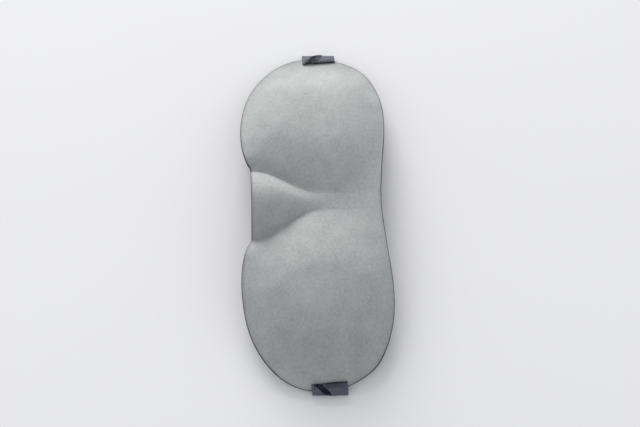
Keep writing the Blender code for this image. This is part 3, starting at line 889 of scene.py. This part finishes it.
def build_end_seam(half, looks):
    """Zigzag stitches that hold the sewn end on the mask's tip."""
    edge = STRAP_WIDTH / 2 - SEAM_INSET
    count = int(2 * edge / (ZIGZAG_PITCH / 2)) + 1
    near = SEAM_INSET / 2
    offsets = np.linspace(-edge, edge, count)
    corners = [(near if n % 2 else near + ZIGZAG_DEPTH, offset)
               for n, offset in enumerate(offsets)]

    def place(run, offset, height):
        lift = height + pleat(run, offset * half.side)[0]
        return half.elastic(run, offset, STRAP_THICK / 2 + lift)

    paths = [stitch(place, a, b, END_SEAM_PROUD, END_SEAM_DIP)
             for a, b in zip(corners, corners[1:])]
    name = half.name + "_end_seam"
    normal = half.turned(FOLD_TURN, 0, 0, 1.0) - half.turned(FOLD_TURN, 0, 0, 0.0)
    seam = add_piece(name, tubes(name, paths, THREAD, normal), looks["thread"])
    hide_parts(half.name + "_end_stitches")
    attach(seam, "mask")


def rectangle(start, end, width):
    """Stitch ends along a rectangle inset from a tape's edges."""
    near, far = start + SEAM_INSET, end - SEAM_INSET
    edge = width / 2 - SEAM_INSET
    corners = [(near, -edge), (far, -edge), (far, edge), (near, edge), (near, -edge)]
    pairs = []
    for a, b in zip(corners, corners[1:]):
        count = max(2, round(math.dist(a, b) / STITCH))
        steps = [tuple(np.array(a) + (np.array(b) - np.array(a)) * t)
                 for t in np.linspace(0, 1, count + 1)]
        pairs += list(zip(steps, steps[1:]))
    return pairs


def build_tape_seam(half, name, ends, heights, replaced, looks):
    """Straight stitches round a tape: on its face and on the back of the elastic."""
    paths = []
    for height, up in heights:
        def place(reach, offset, lift):
            return half.flat(reach, offset, height + up * lift)
        paths += [stitch(place, a, b, TAPE_SEAM_PROUD, TAPE_SEAM_DIP)
                  for a, b in rectangle(*ends, TAPE_WIDTH)]
    seam = add_piece(name, tubes(name, paths, THREAD, (0, 0, 1)), looks["thread"])
    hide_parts(replaced)
    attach(seam, half.name + "_tail")


# ---- closure -------------------------------------------------------------------------------------
def tape_mesh(half, name, ends, low, high, rough_side, rough):
    """A flat tape with rounded edges, uneven on the side that grips, pressed in at its seam."""
    reaches = np.linspace(*ends, round((ends[1] - ends[0]) / TAPE_STEP) + 1)
    offsets = np.linspace(-TAPE_WIDTH / 2, TAPE_WIDTH / 2, round(TAPE_WIDTH / TAPE_STEP) + 1)
    jitter = random.Random(name)
    faces = {"top": [], "bottom": []}
    weave = []
    for reach in reaches:
        for offset in offsets:
            edge = min(abs(reach - ends[0] - SEAM_INSET), abs(reach - ends[1] + SEAM_INSET),
                       abs(abs(offset) - TAPE_WIDTH / 2 + SEAM_INSET))
            dent = SEAM_DENT * math.exp(-(edge / SEAM_DENT_WIDTH) ** 2)
            uneven = jitter.uniform(0, rough) + dent
            top = high - (uneven if rough_side == "top" else dent * DENT_BEHIND)
            bottom = low + (uneven if rough_side == "bottom" else dent * DENT_BEHIND)
            faces["top"].append(half.flat(reach, offset, top))
            faces["bottom"].append(half.flat(reach, offset, bottom))
            weave.append((offset, reach))
    shape = (len(reaches), len(offsets), 3)
    top, bottom = (np.array([tuple(point) for point in faces[side]]).reshape(shape)
                   for side in ("top", "bottom"))
    return closed_shell(name, top, bottom, np.array(weave), TAPE_EDGE)[0]


def scattered(ends, pitch, margin, jitter, wander):
    """Places over a tape, in staggered rows, each moved a little at random."""
    rows = int((ends[1] - ends[0] - 2 * margin) / pitch)
    columns = int((TAPE_WIDTH - 2 * margin) / pitch)
    for row in range(rows + 1):
        stagger = 1 / 4 if row % 2 else -1 / 4
        for column in range(columns + 1):
            reach = ends[0] + margin + row * pitch + jitter.uniform(-wander, wander)
            offset = (column + stagger - columns / 2) * pitch + jitter.uniform(-wander, wander)
            yield reach, offset


def build_loop_tape(half, looks):
    """Loop tape on the outer side of the left half: a woven backing under a pile of fine loops."""
    ends = (LOOP_START, TAPE_END)
    face = PILE * PILE_SUNK
    back = half.climb(TAPE_END) - STRAP_THICK / 2 - HAIR
    mesh = tape_mesh(half, "loop_tape_backing", ends, face, back, "bottom", PILE_ROUGH)
    backing = add_piece("loop_tape_backing", mesh, looks["pile"])
    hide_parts("loop_tape")
    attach(backing, "left_tail")

    jitter = random.Random("loops")
    paths = []
    for reach, offset in scattered(ends, LOOP_PITCH, LOOP_MARGIN, jitter, LOOP_WANDER):
        turn = jitter.uniform(0, math.pi)
        wide = jitter.uniform(*LOOP_HALF_WIDTH)
        tall = jitter.uniform(*LOOP_TALL) * (face - LOOP_CLEAR)
        path = []
        for t in np.linspace(0, math.pi, 6):
            step = -wide * math.cos(t)
            path.append(half.flat(reach + step * math.cos(turn), offset + step * math.sin(turn),
                                  face + LOOP_ROOT - tall * math.sin(t)))
        paths.append(path)
    mesh = tubes("loop_tape_pile", paths, LOOP_YARN, (0, 0, 1), sides=4)
    loops = add_piece("loop_tape_pile", mesh, looks["pile"])
    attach(loops, "left_tail")
    heights = [(back + STRAP_THICK + HAIR, 1), (face + SEAM_ON_PILE, -1)]
    build_tape_seam(half, "loop_tape_seam", ends, heights, "loop_tape_stitches", looks)


def build_hook_patch(half, looks):
    """Hook patch on the inner side of the right half: a backing with rows of small hooks."""
    ends = (HOOK_START, TAPE_END)
    base = STRAP_THICK + HAIR
    top = STRAP_THICK + GAP + HOOK_THICK
    face = top - HOOK_TALL
    mesh = tape_mesh(half, "hook_patch_backing", ends, base, face, "top", HOOK_ROUGH)
    backing = add_piece("hook_patch_backing", mesh, looks["hook"])
    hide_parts("hook_patch")
    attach(backing, "right_tail")

    jitter = random.Random("hooks")
    stem = HOOK_TALL - HOOK_CURL - HOOK_NYLON
    paths = []
    for reach, offset in scattered(ends, HOOK_PITCH, HOOK_MARGIN, jitter, HOOK_WANDER):
        way = 1 if int(round(offset / HOOK_PITCH)) % 2 else -1
        path = [half.flat(reach, offset, face - HOOK_ROOT), half.flat(reach, offset, face + stem)]
        for t in np.linspace(*HOOK_TURN, 5) * math.pi:
            path.append(half.flat(reach + way * HOOK_CURL * (1 - math.cos(t)), offset,
                                  face + stem + HOOK_CURL * math.sin(t)))
        paths.append(path)
    mesh = tubes("hook_patch_hooks", paths, HOOK_NYLON, (0, 1, 0), sides=5)
    hooks = add_piece("hook_patch_hooks", mesh, looks["hook"])
    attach(hooks, "right_tail")
    heights = [(face, 1), (SEAM_BEHIND, -1)]
    build_tape_seam(half, "hook_patch_seam", ends, heights, "hook_patch_stitches", looks)


# ---- stage ---------------------------------------------------------------------------------------
def build_floor():
    bpy.ops.mesh.primitive_plane_add(size=FLOOR_SIZE, location=(0, 0, 0))
    floor = bpy.context.object
    floor.name = "floor"
    floor.data.materials.append(floor_look())


def area_light(name, place, target, size, power, colour):
    data = bpy.data.lights.new(name, "AREA")
    data.shape = "DISK"
    data.size = size
    data.energy = power
    data.color = colour
    light = bpy.data.objects.new(name, data)
    light.location = place
    light.rotation_euler = (Vector(target) - Vector(place)).to_track_quat("-Z", "Y").to_euler()
    bpy.context.scene.collection.objects.link(light)


def build_light():
    """A broad soft light from beyond the mask's right end, and even light from all round."""
    world = bpy.data.worlds.new("soft_room")
    world.use_nodes = True
    sky = world.node_tree.nodes["Background"]
    sky.inputs["Color"].default_value = SKY_COLOUR
    sky.inputs["Strength"].default_value = SKY_STRENGTH
    bpy.context.scene.world = world
    level = math.cos(WINDOW_ELEVATION)
    place = Vector((-level * math.cos(WINDOW_TURN), -level * math.sin(WINDOW_TURN),
                    math.sin(WINDOW_ELEVATION))) * WINDOW_DISTANCE
    area_light("window", place, (0, 0, 0), WINDOW_SIZE, WINDOW_POWER, WINDOW_COLOUR)


def build_camera():
    """Above the mask's left half, its length running down the picture."""
    turn = Matrix.Rotation(-CAMERA_TURN, 3, "Z")
    reach = Vector((math.sin(CAMERA_TILT), 0, math.cos(CAMERA_TILT))) * CAMERA_DISTANCE
    slide = Vector((-CAMERA_SLIDE, 0, 0))
    place = turn @ (reach + slide) + CAMERA_MIDDLE
    target = turn @ slide + CAMERA_MIDDLE
    right = turn @ Vector((0, 1, 0))
    back = (place - target).normalized()
    up = back.cross(right)
    data = bpy.data.cameras.new("camera")
    data.lens, data.sensor_width = LENS, SENSOR
    data.clip_start, data.clip_end = 0.01, 20.0
    camera = bpy.data.objects.new("camera", data)
    rotation = Matrix((right, up, back)).transposed().to_4x4()
    camera.matrix_world = Matrix.Translation(place) @ rotation
    bpy.context.scene.collection.objects.link(camera)
    bpy.context.scene.camera = camera


def main():
    bpy.context.scene.view_settings.view_transform = "Standard"
    build_camera()
    build_light()
    build_floor()
    looks = {"cover": cover_look(), "foam": foam_look(), "lining": lining_look(),
             "elastic": elastic_look(), "pile": pile_look(), "hook": hook_look(),
             "thread": thread_look()}
    build_mask(looks)
    left, right = StrapHalf(1), StrapHalf(-1)
    for half in (left, right):
        build_elastic(half, looks)
        build_end_seam(half, looks)
    build_loop_tape(left, looks)
    build_hook_patch(right, looks)


main()
